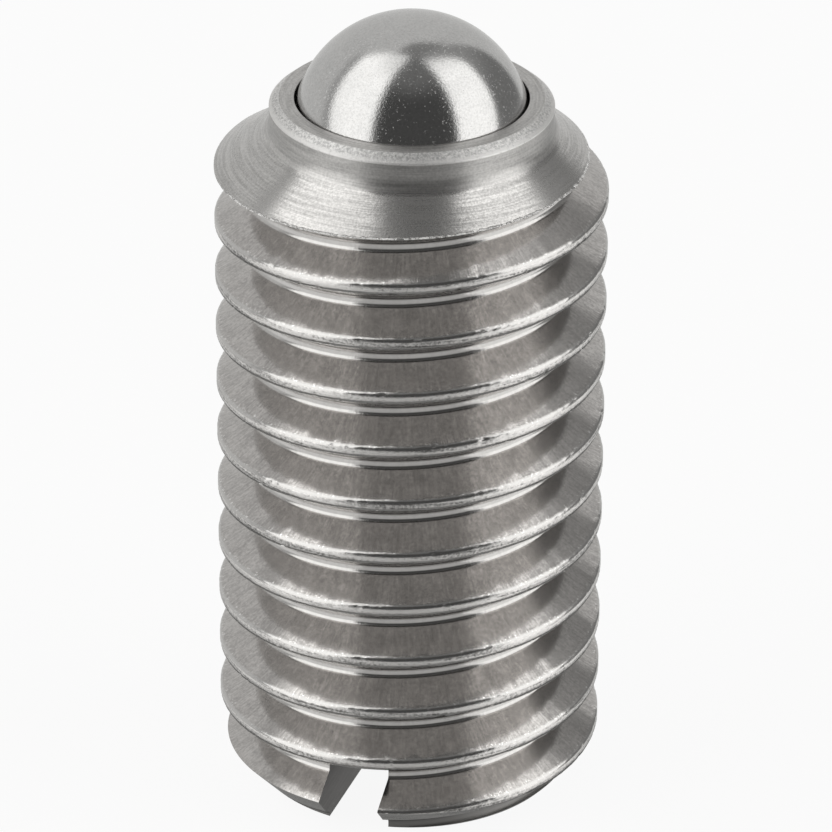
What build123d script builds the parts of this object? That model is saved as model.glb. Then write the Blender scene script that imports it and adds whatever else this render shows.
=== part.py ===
from build123d import *
from math import ceil, cos, pi, radians, sin, sqrt, tan
import os

# Ball-nose spring plunger: a slotted M10 x 1.5 sleeve that holds a sprung ball in its
# nose. Millimetres. The origin is the centre of the slotted end face, +Z runs along the
# sleeve's axis to the ball, and the driver slot lies along Y.

# Thread: ISO metric profile, right hand
thread_diameter = 10.0        # nominal
thread_pitch = 1.5
flank_angle = 30.0            # of each flank, from the plane across the axis
crest_allowance = 0.1         # the turned crests' diameter is this much under nominal
groove_height_on_x = 0.43     # where the middle of the groove first crosses +X
cutter_overlap = 0.1          # how far the thread cutter stands out past the crests

# Sleeve
sleeve_length = 18.8
slot_width = 1.6
slot_depth = 2.0
slot_roof = 3.0               # metal left between the slot and the bore
end_chamfer_height = 0.94     # the chamfer runs in to the thread's core

# Nose: rim, bevel and neck that are rolled in over the ball, then the turned cone
lip_overhang = 0.07           # how far the lip's edge stands inside the ball's radius
lip_land = 0.05               # straight edge of the lip, above its sloping seat
rim_wall = 0.63               # from the lip's edge to the outside of the neck
bevel_width = 0.25
bevel_height = 0.2
neck_height = 0.85            # from the rim down to the cone
cone_height = 0.96

# Ball
ball_diameter = 6.0
ball_clearance = 0.05         # between the ball and its bore, all round

# Spring: compressed between the floor of the bore and the ball, ends closed and ground
wire_diameter = 0.7
wire_sides = 6                # the hidden wire is six-sided, with a round wire's area
coil_steps = 12               # straight steps in each turn
active_coils = 3
closed_coils = 1              # at each end
closed_coil_gap = 0.05        # between a closed coil and the next turn
spring_side_clearance = 0.25  # between the spring and its bore
spring_ball_clearance = 0.03  # between the ball and the top coil's inner edge

# Thread sizes, from the height of its sharp triangle
triangle_height = thread_pitch / (2 * tan(radians(flank_angle)))
pitch_radius = thread_diameter / 2 - 3 / 8 * triangle_height
core_radius = thread_diameter / 2 - 17 / 24 * triangle_height
crest_radius = (thread_diameter - crest_allowance) / 2

# Ball's seat: the lip slopes in from the bore and follows the ball at rest at its edge
ball_radius = ball_diameter / 2
bore_radius = ball_radius + ball_clearance
lip_radius = ball_radius - lip_overhang
neck_radius = lip_radius + rim_wall
lip_above_ball_centre = sqrt(bore_radius**2 - lip_radius**2)
ball_height = sleeve_length - lip_land - lip_above_ball_centre
seat_height = (bore_radius - lip_radius) * lip_radius / lip_above_ball_centre
bore_floor = slot_depth + slot_roof

# Spring sizes: the ball rests on the inner edge of the top coil
wire_area_factor = sqrt(2 * pi / (wire_sides * sin(2 * pi / wire_sides)))
wire_corner_radius = wire_diameter / 2 * wire_area_factor
coil_radius = bore_radius - spring_side_clearance - wire_corner_radius
coil_opening = (coil_radius - wire_corner_radius) * cos(pi / coil_steps)
ball_dip = sqrt((ball_radius + spring_ball_clearance) ** 2 - coil_opening**2)
spring_height = ball_height - ball_dip - bore_floor


def groove_width(radius):
    """Width of the thread's groove, along the axis, at a radius."""
    return thread_pitch / 2 + 2 * (radius - pitch_radius) * tan(radians(flank_angle))


def sleeve_blank():
    """Turned blank: chamfered end, crest diameter, cone, neck, rim, lip and blind bore."""
    cone_top = sleeve_length - neck_height
    seat_top = sleeve_length - lip_land
    with BuildPart() as blank:
        with BuildSketch(Plane.XZ):
            with BuildLine():
                Polyline(
                    (0, bore_floor),
                    (0, 0),
                    (core_radius, 0),
                    (crest_radius, end_chamfer_height),
                    (crest_radius, cone_top - cone_height),
                    (neck_radius, cone_top),
                    (neck_radius, sleeve_length - bevel_height),
                    (neck_radius - bevel_width, sleeve_length),
                    (lip_radius, sleeve_length),
                    (lip_radius, seat_top),
                    (bore_radius, seat_top - seat_height),
                    (bore_radius, bore_floor),
                    close=True,
                )
            make_face()
        revolve(axis=Axis.Z)
    return blank.part


def thread_cutter():
    """Helical cutter of the groove, from below the slotted end to above the cone."""
    start = groove_height_on_x - thread_pitch
    turns = ceil((sleeve_length - start) / thread_pitch)
    outer_radius = crest_radius + cutter_overlap
    root_half = groove_width(core_radius) / 2
    outer_half = groove_width(outer_radius) / 2
    feet = [(0, 0, start + turn * thread_pitch) for turn in range(turns)]
    path = Wire([Helix(thread_pitch, thread_pitch, pitch_radius, foot) for foot in feet])
    with BuildSketch(Plane.XZ) as section:
        with BuildLine():
            Polyline(
                (core_radius, start - root_half),
                (outer_radius, start - outer_half),
                (outer_radius, start + outer_half),
                (core_radius, start + root_half),
                close=True,
            )
        make_face()
    return sweep(section.sketch, path=path, is_frenet=True)


def threaded_sleeve():
    """Sleeve in one piece, threaded all along, with the driver slot across its end."""
    slot = Pos(0, 0, slot_depth / 2) * Box(slot_width, 2 * thread_diameter, slot_depth)
    return sleeve_blank() - thread_cutter() - slot


def ball():
    """Ball at rest, held in by the lip."""
    return Pos(0, 0, ball_height) * Sphere(ball_radius)


def opening_share(turn, total_turns):
    """How far the coil is opened at a turn: 0 in the closed ends, 1 in the middle."""
    from_end = min(turn, total_turns - turn) - closed_coils + 1 / 4
    ramp = min(max(2 * from_end, 0), 1)
    return ramp**2 * (3 - 2 * ramp)


def wire_heights():
    """Heights of the wire's centre above the bore's floor, one for each step."""
    turns = active_coils + 2 * closed_coils
    steps = turns * coil_steps
    shares = [opening_share((i + 1 / 2) / coil_steps, turns) for i in range(steps)]
    closed_rise = (wire_diameter + closed_coil_gap) / coil_steps
    opened_rise = (spring_height - steps * closed_rise) / sum(shares)
    heights = [0.0]
    for share in shares:
        heights.append(heights[-1] + closed_rise + share * opened_rise)
    return heights


def spring():
    """Compression spring, closed at both ends and ground through the wire's centre."""
    sections = []
    for step, height in enumerate(wire_heights()):
        angle = 2 * pi * step / coil_steps
        outward = Vector(cos(angle), sin(angle), 0)
        along = Vector(-sin(angle), cos(angle), 0)
        place = Plane(outward * coil_radius + Vector(0, 0, height), outward, along)
        corner_turn = 180 / wire_sides
        wire = RegularPolygon(wire_corner_radius, wire_sides, rotation=corner_turn)
        sections.append(place * wire)
    coil = loft(sections, ruled=True)
    upright = (Align.CENTER, Align.CENTER, Align.MIN)
    between_ends = Cylinder(bore_radius, spring_height, align=upright)
    return Pos(0, 0, bore_floor) * (coil & between_ends)


def main():
    os.makedirs("parts", exist_ok=True)
    export_step(threaded_sleeve(), "parts/threaded_sleeve.step")
    export_step(spring(), "parts/spring.step")
    export_step(ball(), "parts/ball.step")


main()
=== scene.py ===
from functools import partialmethod
from math import cos, pi, radians, sin, tan

import bmesh
import bpy
from bpy.props import FloatProperty, FloatVectorProperty, IntProperty, PointerProperty
from mathutils import Matrix, Vector


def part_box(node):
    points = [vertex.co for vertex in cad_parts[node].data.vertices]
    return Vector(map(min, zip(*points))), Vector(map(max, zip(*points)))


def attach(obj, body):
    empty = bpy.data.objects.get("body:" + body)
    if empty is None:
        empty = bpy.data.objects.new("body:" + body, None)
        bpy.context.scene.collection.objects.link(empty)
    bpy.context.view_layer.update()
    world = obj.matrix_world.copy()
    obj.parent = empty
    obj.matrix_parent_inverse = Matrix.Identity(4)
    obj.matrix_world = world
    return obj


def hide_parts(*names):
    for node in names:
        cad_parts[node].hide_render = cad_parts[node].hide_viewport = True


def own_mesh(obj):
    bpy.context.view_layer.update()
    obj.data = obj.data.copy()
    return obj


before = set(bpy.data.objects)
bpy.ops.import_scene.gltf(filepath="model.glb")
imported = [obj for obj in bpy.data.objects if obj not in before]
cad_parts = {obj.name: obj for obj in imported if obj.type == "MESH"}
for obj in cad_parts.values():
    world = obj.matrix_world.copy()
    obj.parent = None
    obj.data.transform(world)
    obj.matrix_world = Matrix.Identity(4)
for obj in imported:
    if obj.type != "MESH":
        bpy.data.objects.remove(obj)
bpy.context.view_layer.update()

bl_info = {
    "name": "Ball-nose spring plunger",
    "version": (1, 0, 0),
    "blender": (4, 5, 0),
    "location": "View3D > Sidebar > Plunger",
    "description": "Threaded sleeve, sprung ball and spring with their steel finishes",
    "category": "Add Mesh",
}

MM = 0.001
FLANK_ANGLE = radians(30)  # of each thread flank, from the plane across the axis
FLANK_SLOPE = 1 / tan(FLANK_ANGLE)  # rise in radius along the axis

sleeve_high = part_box("threaded_sleeve")[1]
sleeve_top = sleeve_high.z
ball_low, ball_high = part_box("ball")
spring_low, spring_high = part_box("spring")


# Settings -----------------------------------------------------------------------------


def length(name, description, default):
    """A length a user may change, in metres."""
    return FloatProperty(
        name=name, description=description, default=default, min=0.0, unit="LENGTH", precision=5
    )


def share(name, description, default):
    """A share between 0 and 1 that a user may change."""
    return FloatProperty(name=name, description=description, default=default, min=0.0, max=1.0)


def colour(name, description, default):
    """A linear colour a user may change."""
    return FloatVectorProperty(
        name=name, description=description, default=default, size=3, min=0.0, max=1.0,
        subtype="COLOR",
    )


def degrees_of(name, description, default):
    """An angle a user may change, given in degrees."""
    return FloatProperty(
        name=name, description=description, default=radians(default), subtype="ANGLE"
    )


class SleeveSettings(bpy.types.PropertyGroup):
    """Sizes of the threaded sleeve."""

    crest_radius: length("Crest radius", "Outside of the thread", min(sleeve_high.x, sleeve_high.y))
    core_radius: length("Core radius", "Bottom of the groove", 4.08 * MM)
    pitch: length("Pitch", "From one crest to the next", 1.5 * MM)
    root_width: length("Root width", "Flat between the flanks, at the core radius", 0.25 * MM)
    root_radius: length("Root radius", "Rounding at both sides of the root", 0.11 * MM)
    crest_rounding: length("Crest rounding", "How far each crest edge is eased", 0.065 * MM)
    groove_height: length("Groove height", "Where the groove first crosses +X", 0.43 * MM)
    raggedness: length("Raggedness", "Depth of the nicks along the crest edges", 0.045 * MM)
    chamfer_height: length("End chamfer height", "Of the slotted end", 0.94 * MM)
    slot_width: length("Slot width", "Driver slot", 1.6 * MM)
    slot_depth: length("Slot depth", "Driver slot", 2.0 * MM)
    neck_radius: length("Neck radius", "Below the rim", 3.56 * MM)
    neck_height: length("Neck height", "From the rim down to the cone", 0.85 * MM)
    cone_height: length("Cone height", "From the neck down to the crests", 0.96 * MM)
    bevel_width: length("Bevel width", "Round the rim", 0.25 * MM)
    bevel_height: length("Bevel height", "Round the rim", 0.2 * MM)
    lip_radius: length("Lip radius", "Opening that the ball stands out of", 2.93 * MM)
    lip_land: length("Lip land", "Straight edge of the lip", 0.05 * MM)
    seat_height: length("Seat height", "Sloping seat under the lip", 0.415 * MM)
    bore_radius: length("Bore radius", "Hole for ball and spring", 3.05 * MM)
    bore_floor: length("Bore floor", "Height of the bore's blind end", 5.0 * MM)
    columns: IntProperty(name="Columns", description="Faces round the sleeve", default=400, min=48)
    rows: IntProperty(name="Rows", description="Faces along one pitch", default=18, min=18)
    seed: IntProperty(name="Seed", description="Of the nicks", default=7, min=0)


class SpringSettings(bpy.types.PropertyGroup):
    """Sizes of the spring."""

    wire_diameter: length("Wire diameter", "Round spring wire", 0.7 * MM)
    side_clearance: length("Side clearance", "Between the coil and its bore", 0.28 * MM)
    active_coils: IntProperty(name="Active coils", description="Open turns", default=3, min=1)
    closed_gap: length("Closed gap", "Between a closed coil and the next", 0.05 * MM)
    steps: IntProperty(name="Steps", description="Faces along one turn", default=72, min=16)
    sides: IntProperty(name="Sides", description="Faces round the wire", default=20, min=8)


class BallSettings(bpy.types.PropertyGroup):
    """Size of the ball's mesh."""

    rings: IntProperty(name="Rings", description="Faces from pole to pole", default=96, min=16)


class FinishSettings(bpy.types.PropertyGroup):
    """Colours and roughness of the steels."""

    turned: colour("Turned steel", "Nose and end of the sleeve", (0.55, 0.54, 0.53))
    flank: colour("Thread steel", "Flanks of the thread", (0.5, 0.483, 0.47))
    crest: colour("Crest steel", "Torn crests of the thread", (0.4, 0.392, 0.384))
    ball: colour("Ball steel", "Lapped ball", (0.58, 0.575, 0.57))
    wire: colour("Wire steel", "Drawn spring wire", (0.5, 0.49, 0.48))
    turned_roughness: share("Turned roughness", "Nose and end of the sleeve", 0.2)
    flank_roughness: share("Thread roughness", "Flanks of the thread", 0.15)
    ball_roughness: share("Ball roughness", "Lapped ball", 0.12)


class StageSettings(bpy.types.PropertyGroup):
    """Camera, floor and light tent."""

    azimuth: degrees_of("Azimuth", "Camera, round from the slot's end", 18.6)
    elevation: degrees_of("Elevation", "Camera, above the floor", 27.7)
    roll: degrees_of("Roll", "Camera, about its view", 0.296)
    distance: length("Distance", "Camera to the sleeve's axis", 143.3 * MM)
    target_height: length("Target height", "Of the camera's aim", 9.83 * MM)
    target_side: length("Target side", "Of the camera's aim, to its right", 0.141 * MM)
    lens: FloatProperty(name="Lens", description="On a 36 mm sensor", default=242.4, unit="CAMERA")


# Node building ------------------------------------------------------------------------

FLOAT, VECTOR, GEOMETRY = "NodeSocketFloat", "NodeSocketVector", "NodeSocketGeometry"
INTEGER, MATERIAL = "NodeSocketInt", "NodeSocketMaterial"


class Nodes:
    """Adds nodes to one tree. An input is a number, a colour or another node's output."""

    def __init__(self, tree):
        self.tree = tree

    def link(self, value, socket):
        """Links an output to a socket, or writes a plain value in it."""
        if isinstance(value, bpy.types.NodeSocket):
            self.tree.links.new(value, socket)
        else:
            socket.default_value = value

    def add(self, kind, inputs=None, **settings):
        """A node with its properties set, and its inputs by name or place."""
        made = self.tree.nodes.new(kind)
        for name, value in settings.items():
            setattr(made, name, value)
        for name, value in (inputs or {}).items():
            self.link(value, made.inputs[name])
        return made

    def out(self, kind, inputs=None, **settings):
        """The first output of a new node."""
        return self.add(kind, inputs, **settings).outputs[0]

    def maths(self, operation, *values):
        """A Math node's result."""
        return self.out("ShaderNodeMath", dict(enumerate(values)), operation=operation)

    plus = partialmethod(maths, "ADD")
    minus = partialmethod(maths, "SUBTRACT")
    times = partialmethod(maths, "MULTIPLY")
    over = partialmethod(maths, "DIVIDE")
    times_plus = partialmethod(maths, "MULTIPLY_ADD")
    larger = partialmethod(maths, "MAXIMUM")
    smaller = partialmethod(maths, "MINIMUM")

    def both(self, first, *others):
        """Where all masks hold."""
        for other in others:
            first = self.times(first, other)
        return first

    def span(self, value, low, high, to_low=0.0, to_high=1.0, kind="SMOOTHSTEP"):
        """A value's share of the way from low to high, spread from to_low to to_high."""
        inputs = {"Value": value, "From Min": low, "From Max": high, "To Min": to_low, "To Max": to_high}
        return self.out("ShaderNodeMapRange", inputs, interpolation_type=kind)

    def blend(self, factor, first, second):
        """A number between two others."""
        return self.out("ShaderNodeMix", {0: factor, 2: first, 3: second}, data_type="FLOAT")

    def tint(self, factor, first, second, mode="MIX"):
        """A colour with a second one laid over it."""
        inputs = {0: factor, 6: first, 7: second}
        return self.add("ShaderNodeMix", inputs, data_type="RGBA", blend_type=mode).outputs[2]

    def vector(self, x, y, z):
        """A vector from three numbers."""
        return self.out("ShaderNodeCombineXYZ", {0: x, 1: y, 2: z})

    def parts(self, vector):
        """The three parts of a vector."""
        return self.add("ShaderNodeSeparateXYZ", {0: vector}).outputs

    def noise(self, vector, seed, detail, roughness):
        """Noise of unit size at a place, changed by a seed."""
        inputs = {"Vector": vector, "W": seed, "Scale": 1.0, "Detail": detail, "Roughness": roughness}
        return self.out("ShaderNodeTexNoise", inputs, noise_dimensions="4D")

    def bump(self, height, distance, strength, normal=None):
        """A bumped normal from a height between 0 and 1, over another normal."""
        inputs = {"Height": height, "Distance": distance, "Strength": strength}
        if normal is not None:
            inputs["Normal"] = normal
        return self.out("ShaderNodeBump", inputs)

    def use(self, name, vector, **values):
        """A shader node group's outputs. Its values are named with _ for a space."""
        inputs = {key.replace("_", " "): value for key, value in values.items()}
        group = bpy.data.node_groups[name]
        return self.add("ShaderNodeGroup", {"Vector": vector, **inputs}, node_tree=group).outputs


def new_group(name, kind, inputs, outputs):
    """An empty node group with named sockets: its nodes, its inputs and its outputs."""
    tree = bpy.data.node_groups.new(name, kind)
    for socket_name, socket_type, default in inputs:
        made = tree.interface.new_socket(socket_name, in_out="INPUT", socket_type=socket_type)
        if default is not None:
            made.default_value = default
    for socket_name, socket_type in outputs:
        tree.interface.new_socket(socket_name, in_out="OUTPUT", socket_type=socket_type)
    return Nodes(tree), tree.nodes.new("NodeGroupInput").outputs, tree.nodes.new("NodeGroupOutput").inputs


# Shader node groups -------------------------------------------------------------------


def new_finish_group(name, inputs, outputs):
    """An empty shader node group that takes a place and some numbers, and gives numbers."""
    sockets = [("Vector", VECTOR, None)] + [(key, FLOAT, default) for key, default in inputs.items()]
    return new_group(name, "ShaderNodeTree", sockets, [(key, FLOAT) for key in outputs])


def build_round_place():
    """Place round the sleeve's axis: radius, height, angle and a seamless way round."""
    nodes, given, made = new_finish_group(
        "Round place", {}, ("Radius", "Height", "Angle", "Around X", "Around Y")
    )
    x, y, z = nodes.parts(given["Vector"])
    squares = nodes.times_plus(x, x, nodes.times(y, y))
    radius = nodes.larger(nodes.maths("POWER", squares, 0.5), 0.001 * MM)
    nodes.link(radius, made["Radius"])
    nodes.link(z, made["Height"])
    nodes.link(nodes.maths("ARCTAN2", y, x), made["Angle"])
    nodes.link(nodes.over(x, radius), made["Around X"])
    nodes.link(nodes.over(y, radius), made["Around Y"])


def build_ring_marks():
    """Fine rings left by a turning tool, broken a little round the part."""
    nodes, given, made = new_finish_group(
        "Ring marks", {"Spacing": 0.05 * MM, "Length": 1.0, "Seed": 0.0}, ("Height", "Shade")
    )
    place = nodes.use("Round place", given["Vector"])
    around_x = nodes.times(place["Around X"], given["Length"])
    around_y = nodes.times(place["Around Y"], given["Length"])

    def rings(spacing, seed_step):
        outward = nodes.over(place["Radius"], spacing)
        seed = nodes.plus(given["Seed"], seed_step)
        upward = nodes.plus(nodes.over(place["Height"], spacing), seed)
        return nodes.noise(nodes.vector(around_x, around_y, outward), upward, 1.0, 0.6)

    fine = rings(given["Spacing"], 0.0)
    wide = rings(nodes.times(given["Spacing"], 4.0), 5.0)
    height = nodes.times_plus(wide, 0.5, fine)
    nodes.link(height, made["Height"])
    nodes.link(nodes.span(height, 0.55, 0.95), made["Shade"])


def build_grain():
    """Fine pits and specks, the same in every direction."""
    nodes, given, made = new_finish_group(
        "Grain", {"Size": 0.05 * MM, "Cover": 0.5, "Seed": 0.0}, ("Height", "Specks")
    )
    per_size = nodes.over(1.0, given["Size"])
    scaled = nodes.out("ShaderNodeVectorMath", {0: given["Vector"], "Scale": per_size}, operation="SCALE")
    height = nodes.noise(scaled, given["Seed"], 3.0, 0.65)
    nodes.link(height, made["Height"])
    edge = nodes.minus(0.78, nodes.times(given["Cover"], 0.4))
    nodes.link(nodes.span(height, edge, nodes.plus(edge, 0.08)), made["Specks"])


def build_thread_place():
    """Where a point lies on the thread: from 0 at the root's middle to 1 at the crest's."""
    nodes, given, made = new_finish_group(
        "Thread place", {"Pitch": 1.5 * MM, "Groove height": 0.43 * MM},
        ("From root", "Below groove", "Height"),
    )
    place = nodes.use("Round place", given["Vector"])
    climb = nodes.over(nodes.minus(place["Height"], given["Groove height"]), given["Pitch"])
    turn = nodes.minus(climb, nodes.over(place["Angle"], 2 * pi))
    phase = nodes.minus(turn, nodes.maths("ROUND", turn))
    nodes.link(nodes.times(nodes.maths("ABSOLUTE", phase), 2.0), made["From root"])
    nodes.link(nodes.maths("LESS_THAN", phase, 0.0), made["Below groove"])
    nodes.link(place["Height"], made["Height"])


def build_short_scratches():
    """Short dents and hairlines that run in and out from the axis."""
    nodes, given, made = new_finish_group(
        "Short scratches", {"Width": 0.04 * MM, "Cover": 0.3, "Seed": 0.0}, ("Height", "Hairlines")
    )
    place = nodes.use("Round place", given["Vector"])
    per_width = nodes.over(4.5 * MM, given["Width"])
    vector = nodes.vector(
        nodes.times(place["Around X"], per_width),
        nodes.times(place["Around Y"], per_width),
        nodes.over(place["Height"], nodes.times(given["Width"], 9.0)),
    )
    seed = nodes.plus(given["Seed"], nodes.over(place["Radius"], 0.6 * MM))
    height = nodes.noise(vector, seed, 2.0, 0.6)
    nodes.link(height, made["Height"])
    edge = nodes.minus(0.8, nodes.times(given["Cover"], 0.4))
    nodes.link(nodes.span(height, edge, nodes.plus(edge, 0.06)), made["Hairlines"])


# Materials ----------------------------------------------------------------------------


def rgba(value, factor=1.0):
    """A colour with full alpha, made darker or lighter by a factor."""
    return (*(min(1, part * factor) for part in value), 1.0)


def start_material(name, base, roughness, anisotropy=0.0):
    """A steel material's nodes, its shader's inputs and its object coordinates."""
    material = bpy.data.materials.new(name)
    material.use_nodes = True
    nodes = Nodes(material.node_tree)
    shader = material.node_tree.nodes["Principled BSDF"].inputs
    shader["Base Color"].default_value = rgba(base)
    shader["Metallic"].default_value = 1.0
    shader["Roughness"].default_value = roughness
    shader["Anisotropic"].default_value = anisotropy
    return nodes, shader, nodes.add("ShaderNodeTexCoord").outputs["Object"]


def make_turned_steel(finish, sleeve):
    """Turned nose and chamfer: fine rings, a rolled neck, a burnished rim with a painted highlight on its
    outer edge, and a burred edge at the thread, painted near white as glints.
    """
    nodes, shader, vector = start_material(
        "turned_steel", finish.turned, finish.turned_roughness, anisotropy=0.6
    )
    shader["Anisotropic Rotation"].default_value = 0.25  # spreads light across the rings
    rings = nodes.use("Ring marks", vector, Spacing=0.045 * MM, Length=3.0)
    grain = nodes.use("Grain", vector, Size=0.06 * MM, Cover=0.45, Seed=3.0)["Height"]
    coarse = nodes.use("Grain", vector, Size=0.15 * MM, Cover=0.6, Seed=12.0)["Height"]
    place = nodes.use("Round place", vector)
    radius, height = place["Radius"], place["Height"]
    bevel_foot = sleeve_top - sleeve.bevel_height
    neck_foot = sleeve_top - sleeve.neck_height

    def past(value, edge, start, end):
        """From 0 to 1 between two distances in millimetres from an edge."""
        return nodes.span(value, edge + start * MM, edge + end * MM)

    # Parts of the nose
    neck = nodes.both(past(height, neck_foot, 0, 0.15), past(height, bevel_foot, 0, -0.06))
    neck_fillet = past(height, neck_foot, -0.2, 0)
    bevel = nodes.both(
        past(height, bevel_foot, -0.03, 0.01),
        past(radius, sleeve.neck_radius - sleeve.bevel_width, -0.01, 0.02),
    )
    # Painted highlight: a polished band round the rim's outer edge is painted near white as that edge's
    # highlight
    polished_rim_highlight = nodes.both(
        past(height, bevel_foot, -0.05, -0.02),
        past(nodes.times_plus(grain, 0.08 * MM, height), bevel_foot, 0.12, 0.07),
        past(radius, sleeve.neck_radius, -0.2, -0.15),
        nodes.span(coarse, 0.3, 0.5, 0.3, 1.0),
    )

    # Burrs stand on the cone's sharp edge, where the groove runs out through it; their colour is painted
    # near white as glints
    thread = nodes.use(
        "Thread place", vector, Pitch=sleeve.pitch, Groove_height=sleeve.groove_height
    )
    groove_edge = nodes.times_plus(
        nodes.minus(radius, sleeve.core_radius), tan(FLANK_ANGLE), sleeve.root_width / 2
    )
    to_groove = nodes.minus(nodes.times(thread["From root"], sleeve.pitch / 2), groove_edge)
    burr_reach = nodes.times(coarse, 0.12 * MM)
    burrs_and_glints = nodes.both(
        past(nodes.minus(to_groove, burr_reach), 0, 0.01, -0.02),
        past(radius, sleeve.core_radius, 0.02, 0.12),
        nodes.span(coarse, 0.4, 0.55),
        nodes.span(height, sleeve_top * 0.5, sleeve_top * 0.6),
        nodes.minus(1.0, thread["Below groove"]),
    )

    shade = nodes.times_plus(rings["Shade"], 0.45, nodes.span(grain, 0.3, 0.7, 0.0, 0.55))
    steel = nodes.tint(shade, rgba(finish.turned, 0.72), rgba(finish.turned, 1.22))
    burnished = nodes.tint(
        nodes.span(grain, 0.35, 0.65), rgba((0.56, 0.555, 0.55)), rgba((0.9, 0.89, 0.88))
    )
    steel = nodes.tint(neck, steel, rgba((0.8, 0.8, 0.8)), "MULTIPLY")
    steel = nodes.tint(bevel, steel, burnished)
    # Painted highlight: the rim's polished edge is painted near white
    steel = nodes.tint(polished_rim_highlight, steel, rgba((0.84, 0.83, 0.82)))
    # Painted glints: the burred edge is painted near white
    nodes.link(nodes.tint(burrs_and_glints, steel, rgba((0.88, 0.87, 0.86))), shader["Base Color"])

    smooth = nodes.span(
        shade, 0.0, 1.0, finish.turned_roughness + 0.1, finish.turned_roughness - 0.06
    )
    rough = nodes.larger(nodes.times(bevel, 0.6), nodes.times(burrs_and_glints, 0.45))
    rough = nodes.larger(rough, nodes.times(neck_fillet, 0.4))
    nodes.link(nodes.larger(smooth, rough), shader["Roughness"])

    ringed = nodes.bump(rings["Height"], 0.003 * MM, 0.3)
    uneven = nodes.times_plus(nodes.larger(bevel, nodes.times(burrs_and_glints, 4.0)), 4.0, 0.5)
    nodes.link(nodes.bump(nodes.times(grain, uneven), 0.006 * MM, 0.6, ringed), shader["Normal"])


def make_thread_steel(finish, sleeve):
    """Cut thread: satin flanks with short scratches, bright rolled edges, torn grey crests with painted
    glints along their nicked edges, and painted shade on the groove below the lowest crest.
    """
    nodes, shader, vector = start_material("thread_steel", finish.flank, finish.flank_roughness)
    place = nodes.use(
        "Thread place", vector, Pitch=sleeve.pitch, Groove_height=sleeve.groove_height
    )
    grain = nodes.use("Grain", vector, Size=0.08 * MM, Cover=0.5, Seed=1.0)
    clouds = nodes.use("Grain", vector, Size=0.4 * MM, Cover=0.5, Seed=8.0)["Height"]
    flecks = nodes.use("Grain", vector, Size=0.09 * MM, Cover=0.25, Seed=21.0)["Specks"]
    scratches = nodes.use("Short scratches", vector, Width=0.04 * MM, Cover=0.3)
    rings = nodes.use("Ring marks", vector, Spacing=0.09 * MM, Length=1.5, Seed=4.0)["Height"]

    # From the root out to the crest, with ragged borders
    from_root = place["From root"]
    ragged = nodes.times_plus(grain["Height"], 0.14, from_root)
    root = nodes.span(from_root, 0.24, 0.14)
    rolled = nodes.both(nodes.span(from_root, 0.77, 0.82), nodes.span(ragged, 0.98, 0.93))
    crest = nodes.span(from_root, 0.84, 0.93)
    # Painted glints: bright specks are painted along the crest edges, where they are nicked
    nick_glints = nodes.both(
        nodes.span(ragged, 0.8, 0.86), nodes.span(ragged, 0.95, 0.9), grain["Specks"]
    )
    # Painted shade: the steel is darkened towards the slotted end, below the lowest crest, where the floor
    # shades it
    foot = nodes.span(place["Height"], sleeve.chamfer_height * 0.85, sleeve.chamfer_height * 0.6)

    wear = nodes.times_plus(scratches["Height"], 0.45, nodes.times(grain["Height"], 0.6))
    patchy = nodes.times_plus(clouds, 0.3, wear)
    steel = nodes.tint(
        nodes.span(patchy, 0.5, 0.85), rgba(finish.flank, 0.8), rgba(finish.flank, 1.22)
    )
    torn_shade = nodes.times_plus(rings, 0.5, nodes.times(grain["Height"], 0.5))
    torn = nodes.tint(
        nodes.span(torn_shade, 0.45, 0.68), rgba(finish.crest, 0.4), rgba(finish.crest, 1.9)
    )
    hairlines = nodes.times(scratches["Hairlines"], nodes.span(from_root, 0.25, 0.75, 0.1, 0.5))
    layers = (
        (hairlines, rgba((0.78, 0.76, 0.74))),
        (nodes.times(flecks, 0.7), rgba((0.85, 0.84, 0.82))),
        (nodes.larger(nodes.times(root, 0.8), rolled), rgba((0.6, 0.59, 0.58))),
        (nodes.times(crest, nodes.span(ragged, 0.93, 0.99)), torn),
        # painted glints along the crest edges
        (nick_glints, rgba((0.88, 0.87, 0.86))),
        (foot, rgba((0.22, 0.215, 0.21))),  # painted shade: below the lowest crest the groove is painted dark
    )
    for mask, layer in layers:
        steel = nodes.tint(mask, steel, layer)
    nodes.link(steel, shader["Base Color"])

    satin = nodes.span(
        patchy, 0.5, 0.85, finish.flank_roughness + 0.06, finish.flank_roughness - 0.03
    )
    nodes.link(nodes.blend(foot, nodes.times_plus(crest, 0.16, satin), 0.45), shader["Roughness"])

    scored = nodes.bump(scratches["Height"], 0.002 * MM, 0.4)
    ringed = nodes.bump(nodes.times(rings, crest), 0.01 * MM, 0.7, scored)
    pitted = nodes.times(grain["Height"], nodes.times_plus(crest, 0.95, 0.05))
    nodes.link(nodes.bump(pitted, 0.02 * MM, 0.7, ringed), shader["Normal"])


def make_slot_steel(finish):
    """Sawn driver slot: painted dark as shade inside the slot, with saw marks along its walls and a few
    bright specks.
    """
    nodes, shader, vector = start_material("slot_steel", finish.flank, 0.42)
    mark_size = (0.5 * MM, 0.9 * MM, 0.06 * MM)
    along = nodes.out("ShaderNodeMapping", {"Vector": vector, "Scale": [1 / size for size in mark_size]})
    marks = nodes.out("ShaderNodeTexNoise", {"Vector": along, "Scale": 1.0, "Detail": 3.0})
    specks = nodes.use("Grain", vector, Size=0.06 * MM, Cover=0.3, Seed=6.0)["Specks"]
    # Painted shade: the slot's steel is given a dark colour for the shade inside the slot; the noise marks
    # are saw marks
    steel = nodes.tint(marks, rgba(finish.flank, 0.15), rgba(finish.flank, 0.36))
    steel = nodes.tint(nodes.times(specks, 0.4), steel, rgba((0.6, 0.59, 0.58)))
    nodes.link(steel, shader["Base Color"])
    nodes.link(nodes.bump(marks, 0.01 * MM, 0.6), shader["Normal"])


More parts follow.
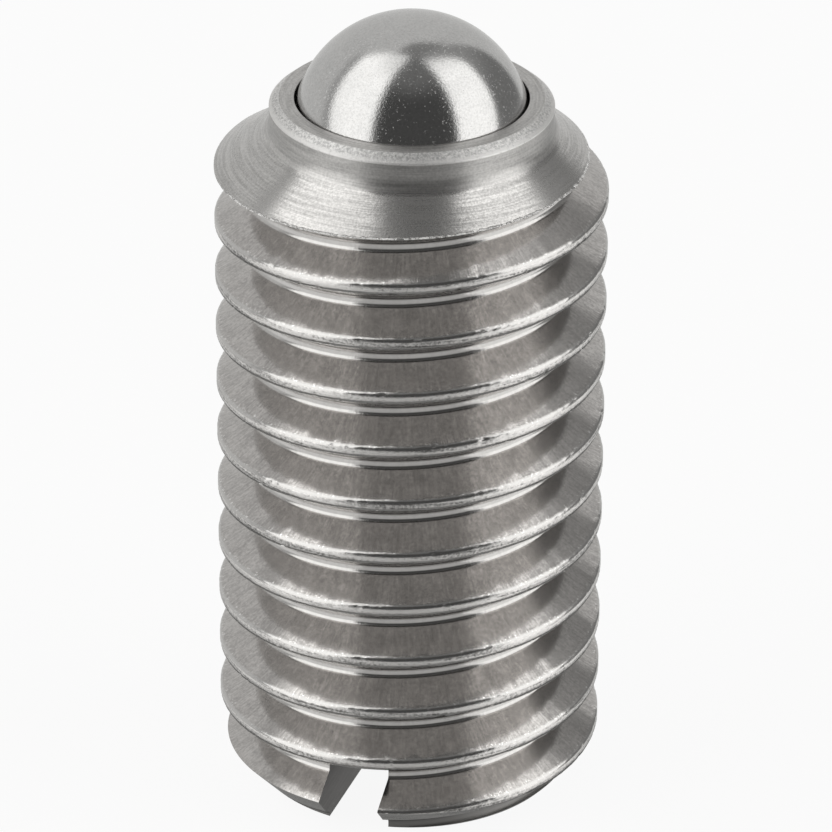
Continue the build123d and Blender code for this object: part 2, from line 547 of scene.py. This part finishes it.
def make_bore_steel(finish):
    """Drilled bore: dull, ringed and a little dark."""
    nodes, shader, vector = start_material("bore_steel", finish.turned, 0.45)
    rings = nodes.use("Ring marks", vector, Spacing=0.12 * MM, Length=1.0, Seed=9.0)
    steel = nodes.tint(rings["Shade"], rgba(finish.turned, 0.45), rgba(finish.turned, 0.75))
    nodes.link(steel, shader["Base Color"])
    nodes.link(nodes.bump(rings["Height"], 0.01 * MM, 0.5), shader["Normal"])


def make_ball_steel(finish):
    """Lapped ball: near mirror, with fine grain that sparkles beside the lights."""
    nodes, shader, vector = start_material("lapped_steel", finish.ball, finish.ball_roughness)
    grain = nodes.use("Grain", vector, Size=0.06 * MM, Cover=0.42, Seed=2.0)
    clouds = nodes.use("Grain", vector, Size=0.9 * MM, Cover=0.5, Seed=5.0)["Height"]
    height, specks = grain["Height"], grain["Specks"]
    shade = nodes.span(nodes.times_plus(clouds, 0.3, nodes.times(height, 0.7)), 0.35, 0.65)
    steel = nodes.tint(shade, rgba(finish.ball, 0.88), rgba(finish.ball, 1.1))
    nodes.link(steel, shader["Base Color"])
    smooth = nodes.span(shade, 0.0, 1.0, finish.ball_roughness + 0.04, finish.ball_roughness - 0.03)
    nodes.link(nodes.blend(specks, smooth, 0.3), shader["Roughness"])
    pitted = nodes.plus(height, nodes.times(specks, -0.6))
    nodes.link(nodes.bump(pitted, 0.006 * MM, 0.5), shader["Normal"])


def make_wire_steel(finish):
    """Drawn spring wire: satin, with a faint grain."""
    nodes, shader, vector = start_material("wire_steel", finish.wire, 0.3, anisotropy=0.3)
    grain = nodes.use("Grain", vector, Size=0.1 * MM, Cover=0.3, Seed=11.0)["Height"]
    steel = nodes.tint(grain, rgba(finish.wire, 0.7), rgba(finish.wire, 1.2))
    nodes.link(steel, shader["Base Color"])
    nodes.link(nodes.bump(grain, 0.008 * MM, 0.4), shader["Normal"])


# Geometry node trees ------------------------------------------------------------------

ROD_SOCKETS = [
    ("Crest radius", FLOAT, 5 * MM), ("Core radius", FLOAT, 4 * MM), ("Pitch", FLOAT, 1.5 * MM),
    ("Root width", FLOAT, 0.25 * MM), ("Root radius", FLOAT, 0.1 * MM),
    ("Crest rounding", FLOAT, 0.05 * MM), ("Groove height", FLOAT, 0.0),
    ("Raggedness", FLOAT, 0.03 * MM), ("Turns", INTEGER, 14), ("Columns", INTEGER, 256),
    ("Rows", INTEGER, 18), ("Bottom", FLOAT, 0.0), ("Top", FLOAT, 20 * MM), ("Seed", FLOAT, 0.0),
]


def build_threaded_rod():
    """A closed rod with a helical groove: a grid whose rows follow the thread."""
    nodes, given, made = new_group(
        "Threaded rod", "GeometryNodeTree", ROD_SOCKETS, [("Mesh", GEOMETRY)]
    )
    plus, minus, times, over = nodes.plus, nodes.minus, nodes.times, nodes.over
    times_plus, maths = nodes.times_plus, nodes.maths
    turns, pitch, root = given["Turns"], given["Pitch"], given["Root radius"]
    core, crest, rounding = given["Core radius"], given["Crest radius"], given["Crest rounding"]
    bottom, top, raggedness = given["Bottom"], given["Top"], given["Raggedness"]
    grid = nodes.out("GeometryNodeMeshGrid", {
        "Size X": 1.0, "Size Y": turns,
        "Vertices X": plus(given["Columns"], 1.0),
        "Vertices Y": times_plus(turns, given["Rows"], 1.0),
    })
    x, y, _ = nodes.parts(nodes.out("GeometryNodeInputPosition"))
    part_turn = plus(x, 0.5)
    angle = times(part_turn, 2 * pi)
    cosine, sine = maths("COSINE", angle), maths("SINE", angle)
    row = plus(y, times(turns, 0.5))
    whole_turns = maths("ROUND", row)
    offset = minus(row, whole_turns)
    row_share = times(maths("ABSOLUTE", offset), 2.0)

    # Rows gather at the root and at the crest's edge, and leave the straight flank between them bare
    easing = over(rounding, FLANK_SLOPE)
    half_flat = minus(times(given["Root width"], 0.5), times(root, tan(FLANK_ANGLE)))
    half_way = times_plus(root, 0.5, half_flat)
    tangent = times_plus(root, cos(FLANK_ANGLE), half_flat)
    flank_foot = times_plus(root, 1 - sin(FLANK_ANGLE), core)
    edge = plus(tangent, over(minus(crest, flank_foot), FLANK_SLOPE))
    knots = [
        0.0, half_flat, half_way, tangent, times_plus(root, 0.2, tangent),
        times_plus(easing, -1.3, edge), times_plus(easing, -0.6, edge), edge,
        times_plus(easing, 0.6, edge), times(pitch, 0.5),
    ]
    steps = len(knots) - 1
    from_root = 0.0
    for step, (low, high) in enumerate(zip(knots, knots[1:])):
        rise = minus(high, low)
        risen = nodes.span(row_share, step / steps, (step + 1) / steps, 0.0, rise, "LINEAR")
        from_root = plus(from_root, risen)
    across = times(maths("SIGN", offset), from_root)
    start = minus(given["Groove height"], times(pitch, 2.0))
    height = plus(times_plus(pitch, plus(whole_turns, part_turn), start), across)

    # Profile: a flat root rounded into straight flanks, which are eased into the crest
    past_flat = nodes.larger(minus(from_root, half_flat), 0.0)
    drop_squared = minus(times(root, root), times(past_flat, past_flat))
    arc = minus(plus(core, root), maths("SQRT", nodes.larger(drop_squared, 0.0)))
    flank = times_plus(minus(from_root, tangent), FLANK_SLOPE, flank_foot)
    rising = nodes.blend(maths("LESS_THAN", from_root, tangent), flank, arc)
    profile = maths("SMOOTH_MIN", rising, crest, rounding)

    # Tears: the crest's edges are nicked inwards, finely all along and deeper here and there
    def noise_along(stretch, detail, seed_step):
        place = nodes.vector(
            times(cosine, stretch), times(sine, stretch), times(over(height, pitch), stretch * 0.35)
        )
        return nodes.noise(place, plus(given["Seed"], seed_step), detail, 0.6)

    near_crest = nodes.span(row_share, 5 / steps, 7 / steps)
    fine = nodes.span(noise_along(60.0, 1.0, 0.0), 0.45, 0.8)
    deep = nodes.span(noise_along(36.0, 2.0, 7.0), 0.58, 0.74)
    tear = plus(times(fine, 0.22), times(deep, 0.9))
    radius = minus(profile, times(times(tear, near_crest), raggedness))
    sway = times(minus(noise_along(45.0, 2.0, 3.0), 0.5), times(near_crest, minus(1.2, row_share)))
    torn_height = plus(height, times(sway, times(raggedness, 2.0)))

    # Rows beyond either end draw together on the axis and close the rod
    inside = times(maths("GREATER_THAN", height, bottom), maths("LESS_THAN", height, top))
    in_top_half = maths("GREATER_THAN", height, times(top, 0.5))
    end_height = plus(bottom, times(minus(top, bottom), in_top_half))
    kept = times(radius, inside)
    position = nodes.vector(
        times(kept, cosine), times(kept, sine), nodes.blend(inside, end_height, torn_height)
    )
    moved = nodes.out("GeometryNodeSetPosition", {"Geometry": grid, "Position": position})
    joined = nodes.out("GeometryNodeMergeByDistance", {"Geometry": moved, "Distance": 0.0002 * MM})
    nodes.link(nodes.out("GeometryNodeSetShadeSmooth", {"Geometry": joined}), made["Mesh"])


THREAD, TURNED, BORE, SLOT = range(4)  # finishes of the sleeve's faces


def mark_finish(nodes, mesh, value):
    """Writes a finish on every face of a mesh, to tell the faces apart after they are cut."""
    inputs = {"Geometry": mesh, "Name": "finish", "Value": value}
    return nodes.out("GeometryNodeStoreNamedAttribute", inputs, data_type="INT", domain="FACE")


def build_cut_sleeve():
    """The turned blank kept only where the threaded rod is, less the driver slot."""
    finishes = {"Thread": THREAD, "Turned": TURNED, "Bore": BORE, "Slot": SLOT}
    nodes, given, made = new_group(
        "Cut sleeve", "GeometryNodeTree",
        [
            ("Blank", GEOMETRY, None), *ROD_SOCKETS,
            ("Slot width", FLOAT, 1.6 * MM), ("Slot depth", FLOAT, 2 * MM),
            *((f"{name} material", MATERIAL, None) for name in finishes),
        ],
        [("Mesh", GEOMETRY)],
    )
    rod = nodes.out(
        "GeometryNodeGroup", {name: given[name] for name, _, _ in ROD_SOCKETS},
        node_tree=bpy.data.node_groups["Threaded rod"],
    )
    threaded = nodes.add(
        "GeometryNodeMeshBoolean", {"Mesh 2": given["Blank"]}, operation="INTERSECT", solver="MANIFOLD"
    )
    nodes.link(mark_finish(nodes, rod, THREAD), threaded.inputs["Mesh 2"])
    slot_size = nodes.vector(
        given["Slot width"], nodes.times(given["Crest radius"], 3.0), nodes.times(given["Slot depth"], 2.0)
    )
    block = nodes.out("GeometryNodeMeshCube", {"Size": slot_size})
    slotted = nodes.out("GeometryNodeMeshBoolean", {
        "Mesh 1": threaded.outputs[0], "Mesh 2": mark_finish(nodes, block, SLOT),
    }, operation="DIFFERENCE", solver="MANIFOLD")
    shape = nodes.out("GeometryNodeRealizeInstances", {"Geometry": slotted})
    finish = nodes.out("GeometryNodeInputNamedAttribute", {"Name": "finish"}, data_type="INT")
    for name, value in finishes.items():
        chosen = nodes.out("FunctionNodeCompare", {2: finish, 3: value}, data_type="INT", operation="EQUAL")
        shape = nodes.out("GeometryNodeSetMaterial", {
            "Geometry": shape, "Selection": chosen, "Material": given[f"{name} material"],
        })
    nodes.link(shape, made["Mesh"])


def build_spring_coil():
    """A compression spring: closed coils at both ends, ground flat through the wire's centre."""
    nodes, given, made = new_group(
        "Spring coil", "GeometryNodeTree",
        [
            ("Base", GEOMETRY, None), ("Coil radius", FLOAT, 2.4 * MM), ("Wire radius", FLOAT, 0.35 * MM),
            ("Bottom", FLOAT, 0.0), ("Length", FLOAT, 10 * MM), ("Turns", INTEGER, 5),
            ("Closed rise", FLOAT, 0.75 * MM), ("Steps", INTEGER, 72), ("Sides", INTEGER, 20),
            ("Material", MATERIAL, None),
        ],
        [("Mesh", GEOMETRY)],
    )
    plus, minus, times = nodes.plus, nodes.minus, nodes.times
    turns, whole_length, coil_radius = given["Turns"], given["Length"], given["Coil radius"]
    line = nodes.out("GeometryNodeMeshLine", {"Count": nodes.times_plus(turns, given["Steps"], 1.0)})
    turn = nodes.over(nodes.out("GeometryNodeInputIndex"), given["Steps"])
    angle = times(turn, 2 * pi)

    # All turns rise as the closed ones do, and a smooth step opens those between the ends
    closed_turn, end_turns, softness = 0.75, 1.5, 0.12
    climb = nodes.over(minus(turn, closed_turn), minus(turns, end_turns))
    eased = nodes.maths("SMOOTH_MAX", nodes.maths("SMOOTH_MIN", climb, 1.0, softness), 0.0, softness)
    opened_share = nodes.smaller(nodes.larger(eased, 0.0), 1.0)
    opened = minus(whole_length, times(turns, given["Closed rise"]))
    closed = times(turn, given["Closed rise"])
    height = plus(plus(given["Bottom"], closed), times(opened_share, opened))
    position = nodes.vector(
        times(coil_radius, nodes.maths("COSINE", angle)),
        times(coil_radius, nodes.maths("SINE", angle)),
        height,
    )
    helix = nodes.out("GeometryNodeSetPosition", {"Geometry": line, "Position": position})
    curve = nodes.out("GeometryNodeMeshToCurve", {"Mesh": helix})
    upright = nodes.out("GeometryNodeSetCurveNormal", {"Curve": curve}, mode="Z_UP")
    ring = nodes.out("GeometryNodeCurvePrimitiveCircle", {
        "Resolution": given["Sides"], "Radius": given["Wire radius"],
    })
    wire = nodes.out("GeometryNodeCurveToMesh", {
        "Curve": upright, "Profile Curve": ring, "Fill Caps": True,
    })

    # The ends are ground: only the wire between two flat planes is kept
    between = nodes.out("GeometryNodeMeshCylinder", {
        "Vertices": 64, "Radius": times(coil_radius, 1.6), "Depth": whole_length,
    })
    middle = nodes.times_plus(whole_length, 0.5, given["Bottom"])
    raised = nodes.out("GeometryNodeTransform", {
        "Geometry": between, "Translation": nodes.vector(0.0, 0.0, middle),
    })
    ground = nodes.add(
        "GeometryNodeMeshBoolean", {"Mesh 2": wire}, operation="INTERSECT", solver="MANIFOLD"
    )
    nodes.link(raised, ground.inputs["Mesh 2"])
    smooth = nodes.out("GeometryNodeSetShadeSmooth", {"Geometry": ground.outputs[0]})
    whole = nodes.out("GeometryNodeRealizeInstances", {"Geometry": smooth})
    coated = nodes.out("GeometryNodeSetMaterial", {"Geometry": whole, "Material": given["Material"]})
    nodes.link(coated, made["Mesh"])


# Mesh building ------------------------------------------------------------------------


def new_piece(name, mesh):
    """Links a mesh to the scene as an object at the origin."""
    piece = bpy.data.objects.new(name, mesh)
    bpy.context.scene.collection.objects.link(piece)
    return piece


def apply_tree(piece, tree_name, values):
    """Runs a geometry node tree on a piece and keeps its result as a plain mesh."""
    modifier = piece.modifiers.new("Shape", "NODES")
    modifier.node_group = bpy.data.node_groups[tree_name]
    sockets = {
        item.name: item.identifier
        for item in modifier.node_group.interface.items_tree
        if item.in_out == "INPUT"
    }
    for name, value in values.items():
        modifier[sockets[name]] = value
    shown = piece.evaluated_get(bpy.context.evaluated_depsgraph_get())
    mesh = bpy.data.meshes.new_from_object(shown)
    piece.modifiers.remove(modifier)
    old = piece.data
    piece.data = mesh
    bpy.data.meshes.remove(old)
    mesh.name = piece.name
    for place in reversed(range(len(mesh.materials))):
        if mesh.materials[place] is None:
            mesh.materials.pop(index=place)
    if len(mesh.polygons) < 100:
        raise RuntimeError(f"{piece.name} came out empty")


def sharpen(mesh, angle):
    """Smooth faces, with sharp edges past an angle and wherever two finishes meet."""
    mesh.polygons.foreach_set("use_smooth", [True] * len(mesh.polygons))
    mesh.set_sharp_from_angle(angle=angle)
    shape = bmesh.new()
    shape.from_mesh(mesh)
    for edge in shape.edges:
        if len({face.material_index for face in edge.link_faces}) > 1:
            edge.smooth = False
    shape.to_mesh(mesh)
    shape.free()


def eased_profile(corners, steps=4):
    """Points of a profile of (radius, height, rounding, finish) corners, with arcs for the roundings."""
    points = []
    for i, (radius, height, rounding, finish) in enumerate(corners):
        here = Vector((radius, height))
        if rounding == 0:
            points.append((here, finish))
            continue
        before = (Vector(corners[i - 1][:2]) - here).normalized()
        after = (Vector(corners[i + 1][:2]) - here).normalized()
        half = before.angle(after) / 2
        reach = rounding / tan(half)
        centre = here + (before + after).normalized() * (rounding / sin(half))
        first = here + before * reach - centre
        last = here + after * reach - centre
        for step in range(steps + 1):
            spoke = first.lerp(last, step / steps).normalized()
            points.append((centre + spoke * rounding, finish))
    return points


def turned_mesh(name, points, columns):
    """A closed lathe mesh from (point, finish) pairs that start and end on the axis."""
    shape = bmesh.new()
    rings = []
    for (radius, height), _ in points:
        if radius < 1e-6 * MM:  # a point on the axis
            rings.append([shape.verts.new((0, 0, height))])
            continue
        angles = [2 * pi * i / columns for i in range(columns)]
        rings.append([shape.verts.new((radius * cos(a), radius * sin(a), height)) for a in angles])
    finish = shape.faces.layers.int.new("finish")
    for (low, (_, value)), high in zip(zip(rings, points), rings[1:]):
        for i in range(columns):
            j = (i + 1) % columns
            corners = [low[i % len(low)], low[j % len(low)], high[j % len(high)], high[i % len(high)]]
            face = shape.faces.new(list(dict.fromkeys(corners)))  # three corners where a ring is a point
            face[finish] = value
            face.smooth = True
    bmesh.ops.recalc_face_normals(shape, faces=shape.faces)
    mesh = bpy.data.meshes.new(name)
    shape.to_mesh(mesh)
    shape.free()
    return mesh


def blank_profile(size):
    """The turned blank's half section, from the slotted end's centre round to the bore's floor."""
    cone_top = sleeve_top - size.neck_height
    seat_top = sleeve_top - size.lip_land
    spare = 1.02  # the blank stands a little out of the crests, so that the rod forms them
    outer = size.crest_radius * spare
    chamfer_slope = size.chamfer_height / (size.crest_radius - size.core_radius)
    cone_slope = size.cone_height / (size.crest_radius - size.neck_radius)
    edge_rounding, lip_rounding = 0.03 * MM, 0.02 * MM
    neck_fillet, floor_rounding = 0.5 * MM, 0.1 * MM
    return eased_profile([
        (0, 0, 0, TURNED),
        (size.core_radius, 0, edge_rounding, TURNED),
        (outer, (outer - size.core_radius) * chamfer_slope, 0, TURNED),
        (outer, cone_top - (outer - size.neck_radius) * cone_slope, 0, TURNED),
        (size.neck_radius, cone_top, neck_fillet, TURNED),
        (size.neck_radius, sleeve_top - size.bevel_height, edge_rounding, TURNED),
        (size.neck_radius - size.bevel_width, sleeve_top, edge_rounding, TURNED),
        (size.lip_radius, sleeve_top, lip_rounding, TURNED),
        (size.lip_radius, seat_top, 0, BORE),
        (size.bore_radius, seat_top - size.seat_height, 0, BORE),
        (size.bore_radius, size.bore_floor, floor_rounding, BORE),
        (0, size.bore_floor, 0, BORE),
    ])


# Operators ----------------------------------------------------------------------------


class PLUNGER_OT_finishes(bpy.types.Operator):
    """Build the steel materials and the node groups they share"""

    bl_idname = "plunger.finishes"
    bl_label = "Steel finishes"

    def execute(self, context):
        finish, sleeve = context.scene.plunger_finish, context.scene.plunger_sleeve
        build_round_place()
        build_ring_marks()
        build_grain()
        build_thread_place()
        build_short_scratches()
        make_turned_steel(finish, sleeve)
        make_thread_steel(finish, sleeve)
        make_slot_steel(finish)
        make_bore_steel(finish)
        make_ball_steel(finish)
        make_wire_steel(finish)
        return {"FINISHED"}


class PLUNGER_OT_sleeve(bpy.types.Operator):
    """Turn the blank, cut its thread and saw its driver slot"""

    bl_idname = "plunger.sleeve"
    bl_label = "Threaded sleeve"

    def execute(self, context):
        size = context.scene.plunger_sleeve
        blank = turned_mesh("threaded_sleeve_turned", blank_profile(size), size.columns)
        piece = new_piece("sleeve_threaded", blank)
        build_threaded_rod()
        build_cut_sleeve()
        # The rod runs past both ends of the blank
        bottom = size.groove_height - 0.8 * size.pitch
        spare_turns = 4
        apply_tree(piece, "Cut sleeve", {
            "Crest radius": size.crest_radius,
            "Core radius": size.core_radius,
            "Pitch": size.pitch,
            "Root width": size.root_width,
            "Root radius": size.root_radius,
            "Crest rounding": size.crest_rounding,
            "Groove height": size.groove_height,
            "Raggedness": size.raggedness,
            "Turns": int((sleeve_top - bottom) / size.pitch) + spare_turns,
            "Columns": size.columns,
            "Rows": size.rows,
            "Bottom": bottom,
            "Top": sleeve_top + size.pitch,
            "Seed": float(size.seed),
            "Slot width": size.slot_width,
            "Slot depth": size.slot_depth,
            "Thread material": bpy.data.materials["thread_steel"],
            "Turned material": bpy.data.materials["turned_steel"],
            "Bore material": bpy.data.materials["bore_steel"],
            "Slot material": bpy.data.materials["slot_steel"],
        })
        sharpen(piece.data, radians(38))
        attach(piece, "sleeve")
        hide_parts("threaded_sleeve")
        return {"FINISHED"}


class PLUNGER_OT_spring(bpy.types.Operator):
    """Wind the spring that presses the ball out"""

    bl_idname = "plunger.spring"
    bl_label = "Spring"

    def execute(self, context):
        size = context.scene.plunger_spring
        closed_coils = 2  # one at each end
        wire_radius = size.wire_diameter / 2
        whole_length = spring_high.z - spring_low.z
        piece = new_piece("spring_coil", bpy.data.meshes.new("spring_coil"))
        build_spring_coil()
        apply_tree(piece, "Spring coil", {
            "Coil radius": context.scene.plunger_sleeve.bore_radius - size.side_clearance - wire_radius,
            "Wire radius": wire_radius,
            "Bottom": spring_low.z,
            "Length": whole_length,
            "Turns": size.active_coils + closed_coils,
            "Closed rise": size.wire_diameter + size.closed_gap,
            "Steps": size.steps,
            "Sides": size.sides,
            "Material": bpy.data.materials["wire_steel"],
        })
        sharpen(piece.data, radians(40))
        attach(piece, "sleeve")
        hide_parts("spring")
        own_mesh(piece)
        return {"FINISHED"}


class PLUNGER_OT_ball(bpy.types.Operator):
    """Lap the ball"""

    bl_idname = "plunger.ball"
    bl_label = "Ball"

    def execute(self, context):
        rings = context.scene.plunger_ball.rings
        centre = (ball_low.z + ball_high.z) / 2
        radius = min(ball_high.x, ball_high.y, ball_high.z - centre)
        only_finish = 0
        angles = [pi * ring / rings for ring in range(rings + 1)]
        arc = [Vector((radius * sin(angle), centre - radius * cos(angle))) for angle in angles]
        points = [(point, only_finish) for point in arc]
        mesh = turned_mesh("ball_lapped", points, 2 * rings)
        mesh.materials.append(bpy.data.materials["lapped_steel"])
        piece = new_piece("ball_lapped", mesh)
        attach(piece, "ball")
        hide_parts("ball")
        return {"FINISHED"}


# Stage --------------------------------------------------------------------------------


def build_tent(world, azimuth):
    """Light tent: white to the eye, two tall soft lights at the sides and greys between them.

    The tent is turned with the camera: +X is to its right, -Y towards it. Each edge of a
    light or a card is straight, so it lies in a plane through the plunger.
    """
    world.use_nodes = True
    world.node_tree.nodes.clear()
    nodes = Nodes(world.node_tree)
    seen_from = nodes.add("ShaderNodeTexCoord").outputs["Generated"]
    direction = nodes.out(
        "ShaderNodeVectorRotate", {"Vector": seen_from, "Angle": -azimuth}, rotation_type="Z_AXIS"
    )
    z = nodes.parts(direction)[2]

    def side_of(plane, offset=0.0, softness=0.03):
        """1 on the side that a plane's normal points to and 0 on the other, with a soft edge."""
        dot = nodes.add("ShaderNodeVectorMath", {0: direction, 1: plane}, operation="DOT_PRODUCT")
        return nodes.span(nodes.plus(dot.outputs["Value"], offset), -softness, softness)

    # Each light lies between an inner and a rear edge, from its foot up to the roof's edge
    right_rear, left_rear = (0.61, -1.0, -0.05), (-0.524, -1.0, 0.106)
    right_roof, left_roof = (0.0, -1.0, 0.45), (0.09, -1.0, 0.53)
    right_inner = side_of((1.0, 0.99, -0.21))
    left_inner = side_of((-1.0, 0.8, -0.118))
    above_foot = side_of((0.0, 0.0, 1.0), offset=0.2, softness=0.06)
    right_light = nodes.both(
        right_inner, side_of(right_roof), side_of(right_rear, softness=0.09), above_foot
    )
    left_light = nodes.both(
        left_inner, side_of(left_roof), side_of(left_rear, softness=0.08), above_foot
    )
    lights = nodes.larger(right_light, left_light)
    front = nodes.both(nodes.minus(1.0, right_inner), nodes.minus(1.0, left_inner))

    # Behind them a pale card under a dark roof, a dark card at the right and a frame at the left
    card = nodes.larger(side_of((-1.0, 1.0, -0.445)), side_of((-0.36, 1.0, -0.445)))
    level = nodes.blend(card, 0.27, 0.66)
    dark_card = nodes.both(side_of((1.0, -0.78, 0.0)), side_of((1.0, 0.0, 0.0)))
    level = nodes.blend(dark_card, level, nodes.span(z, 0.3, 0.75, 0.22, 0.36))
    frame_bar = nodes.both(
        side_of(left_roof, offset=0.17), side_of((-1.0, 0.0, 0.0)), side_of((0.0, 0.0, -1.0), offset=0.7)
    )
    level = nodes.blend(frame_bar, level, 0.4)

    # Ground: palest below the lights
    below = nodes.span(z, -0.05, -0.3)
    right_ground = nodes.both(right_inner, side_of(right_rear))
    left_ground = nodes.both(left_inner, side_of(left_rear, softness=0.08))
    ground_level = nodes.blend(right_ground, nodes.blend(left_ground, 0.7, 0.9), 1.15)
    level = nodes.blend(below, level, ground_level)

    # Dark gap at the front, then the lights, and the plunger's own shade round its foot
    front_level = nodes.blend(below, nodes.span(z, 0.75, 1.0, 0.08, 0.2), 0.55)
    level = nodes.blend(front, level, front_level)
    level = nodes.blend(lights, level, nodes.span(z, 0.85, 1.0, 1.52, 1.15))
    behind = side_of((0.0, 1.0, 0.0), softness=0.1)
    shaded = nodes.larger(nodes.span(z, -0.6, -0.75), nodes.both(nodes.span(z, -0.47, -0.6), behind))
    level = nodes.blend(shaded, level, 0.26)

    rays = nodes.add("ShaderNodeLightPath").outputs
    seen = nodes.larger(rays["Is Camera Ray"], rays["Is Transmission Ray"])
    tent_colour = nodes.vector(level, level, nodes.times(level, 0.985))  # a trace warmer than grey
    tent = nodes.out("ShaderNodeBackground", {"Color": tent_colour, "Strength": 1.0})
    white = nodes.out("ShaderNodeBackground", {"Color": (1, 1, 1, 1), "Strength": 1.0})
    mixed = nodes.out("ShaderNodeMixShader", {0: seen, 1: tent, 2: white})
    nodes.link(mixed, nodes.add("ShaderNodeOutputWorld").inputs["Surface"])


def make_floor():
    """Wide white floor that keeps a trace of the sleeve's shadow and lets reflections pass."""
    reach = 3.0
    corners = [(-reach, -reach, 0), (reach, -reach, 0), (reach, reach, 0), (-reach, reach, 0)]
    mesh = bpy.data.meshes.new("floor")
    mesh.from_pydata(corners, [], [(0, 1, 2, 3)])
    material = bpy.data.materials.new("floor_white")
    material.use_nodes = True
    material.node_tree.nodes.clear()
    nodes = Nodes(material.node_tree)
    matt = nodes.out("ShaderNodeBsdfDiffuse", {"Color": (0.8, 0.8, 0.8, 1)})
    glow = nodes.out("ShaderNodeEmission", {"Color": (1, 1, 1, 1), "Strength": 1.0})
    clear = nodes.out("ShaderNodeBsdfTransparent")
    rays = nodes.add("ShaderNodeLightPath").outputs
    glow_share = nodes.times(rays["Is Camera Ray"], 0.92)
    seen = nodes.out("ShaderNodeMixShader", {0: glow_share, 1: matt, 2: glow})
    mixed = nodes.out("ShaderNodeMixShader", {0: rays["Is Glossy Ray"], 1: seen, 2: clear})
    nodes.link(mixed, nodes.add("ShaderNodeOutputMaterial").inputs["Surface"])
    mesh.materials.append(material)
    floor = new_piece("floor", mesh)


def place_camera(stage):
    """Long-lens camera that looks down on the nose and shows the slot at the foot."""
    azimuth, elevation, roll = stage.azimuth, stage.elevation, stage.roll
    back = Vector((sin(azimuth) * cos(elevation), -cos(azimuth) * cos(elevation), sin(elevation)))
    right = Vector((cos(azimuth), sin(azimuth), 0))
    up = back.cross(right)
    target = Vector((0, 0, stage.target_height)) + right * stage.target_side
    rolled_right = right * cos(roll) + up * sin(roll)
    rolled_up = up * cos(roll) - right * sin(roll)
    data = bpy.data.cameras.new("camera")
    data.lens = stage.lens
    data.sensor_width = 36
    data.clip_start, data.clip_end = 0.01, 10
    camera = bpy.data.objects.new("camera", data)
    bpy.context.scene.collection.objects.link(camera)
    turn = Matrix((rolled_right, rolled_up, back)).transposed().to_4x4()
    camera.matrix_world = Matrix.Translation(target + back * stage.distance) @ turn
    bpy.context.scene.camera = camera


class PLUNGER_OT_stage(bpy.types.Operator):
    """Set up the floor, the light tent and the camera"""

    bl_idname = "plunger.stage"
    bl_label = "Stage"

    def execute(self, context):
        scene = context.scene
        scene.view_settings.view_transform = "Standard"
        scene.world = scene.world or bpy.data.worlds.new("tent")
        build_tent(scene.world, scene.plunger_stage.azimuth)
        make_floor()
        place_camera(scene.plunger_stage)
        return {"FINISHED"}


class PLUNGER_PT_panel(bpy.types.Panel):
    """Buttons for each piece of the plunger"""

    bl_label = "Spring plunger"
    bl_idname = "PLUNGER_PT_panel"
    bl_space_type = "VIEW_3D"
    bl_region_type = "UI"
    bl_category = "Plunger"

    def draw(self, context):
        for operator in OPERATORS:
            self.layout.operator(operator.bl_idname)
        for name in SETTINGS:
            box = self.layout.box()
            group = getattr(context.scene, name)
            for key in group.bl_rna.properties.keys():
                if key not in {"rna_type", "name"}:
                    box.prop(group, key)


SETTINGS = {
    "plunger_sleeve": SleeveSettings,
    "plunger_spring": SpringSettings,
    "plunger_ball": BallSettings,
    "plunger_finish": FinishSettings,
    "plunger_stage": StageSettings,
}
OPERATORS = (
    PLUNGER_OT_finishes,
    PLUNGER_OT_sleeve,
    PLUNGER_OT_spring,
    PLUNGER_OT_ball,
    PLUNGER_OT_stage,
)


def register():
    for group in SETTINGS.values():
        bpy.utils.register_class(group)
    for name, group in SETTINGS.items():
        setattr(bpy.types.Scene, name, PointerProperty(type=group))
    for operator in OPERATORS:
        bpy.utils.register_class(operator)
    bpy.utils.register_class(PLUNGER_PT_panel)


def unregister():
    bpy.utils.unregister_class(PLUNGER_PT_panel)
    for operator in reversed(OPERATORS):
        bpy.utils.unregister_class(operator)
    for name in SETTINGS:
        delattr(bpy.types.Scene, name)
    for group in reversed(list(SETTINGS.values())):
        bpy.utils.unregister_class(group)


def main():
    register()
    bpy.ops.plunger.finishes()
    bpy.ops.plunger.sleeve()
    bpy.ops.plunger.spring()
    bpy.ops.plunger.ball()
    bpy.ops.plunger.stage()


if __name__ == "__main__":
    main()
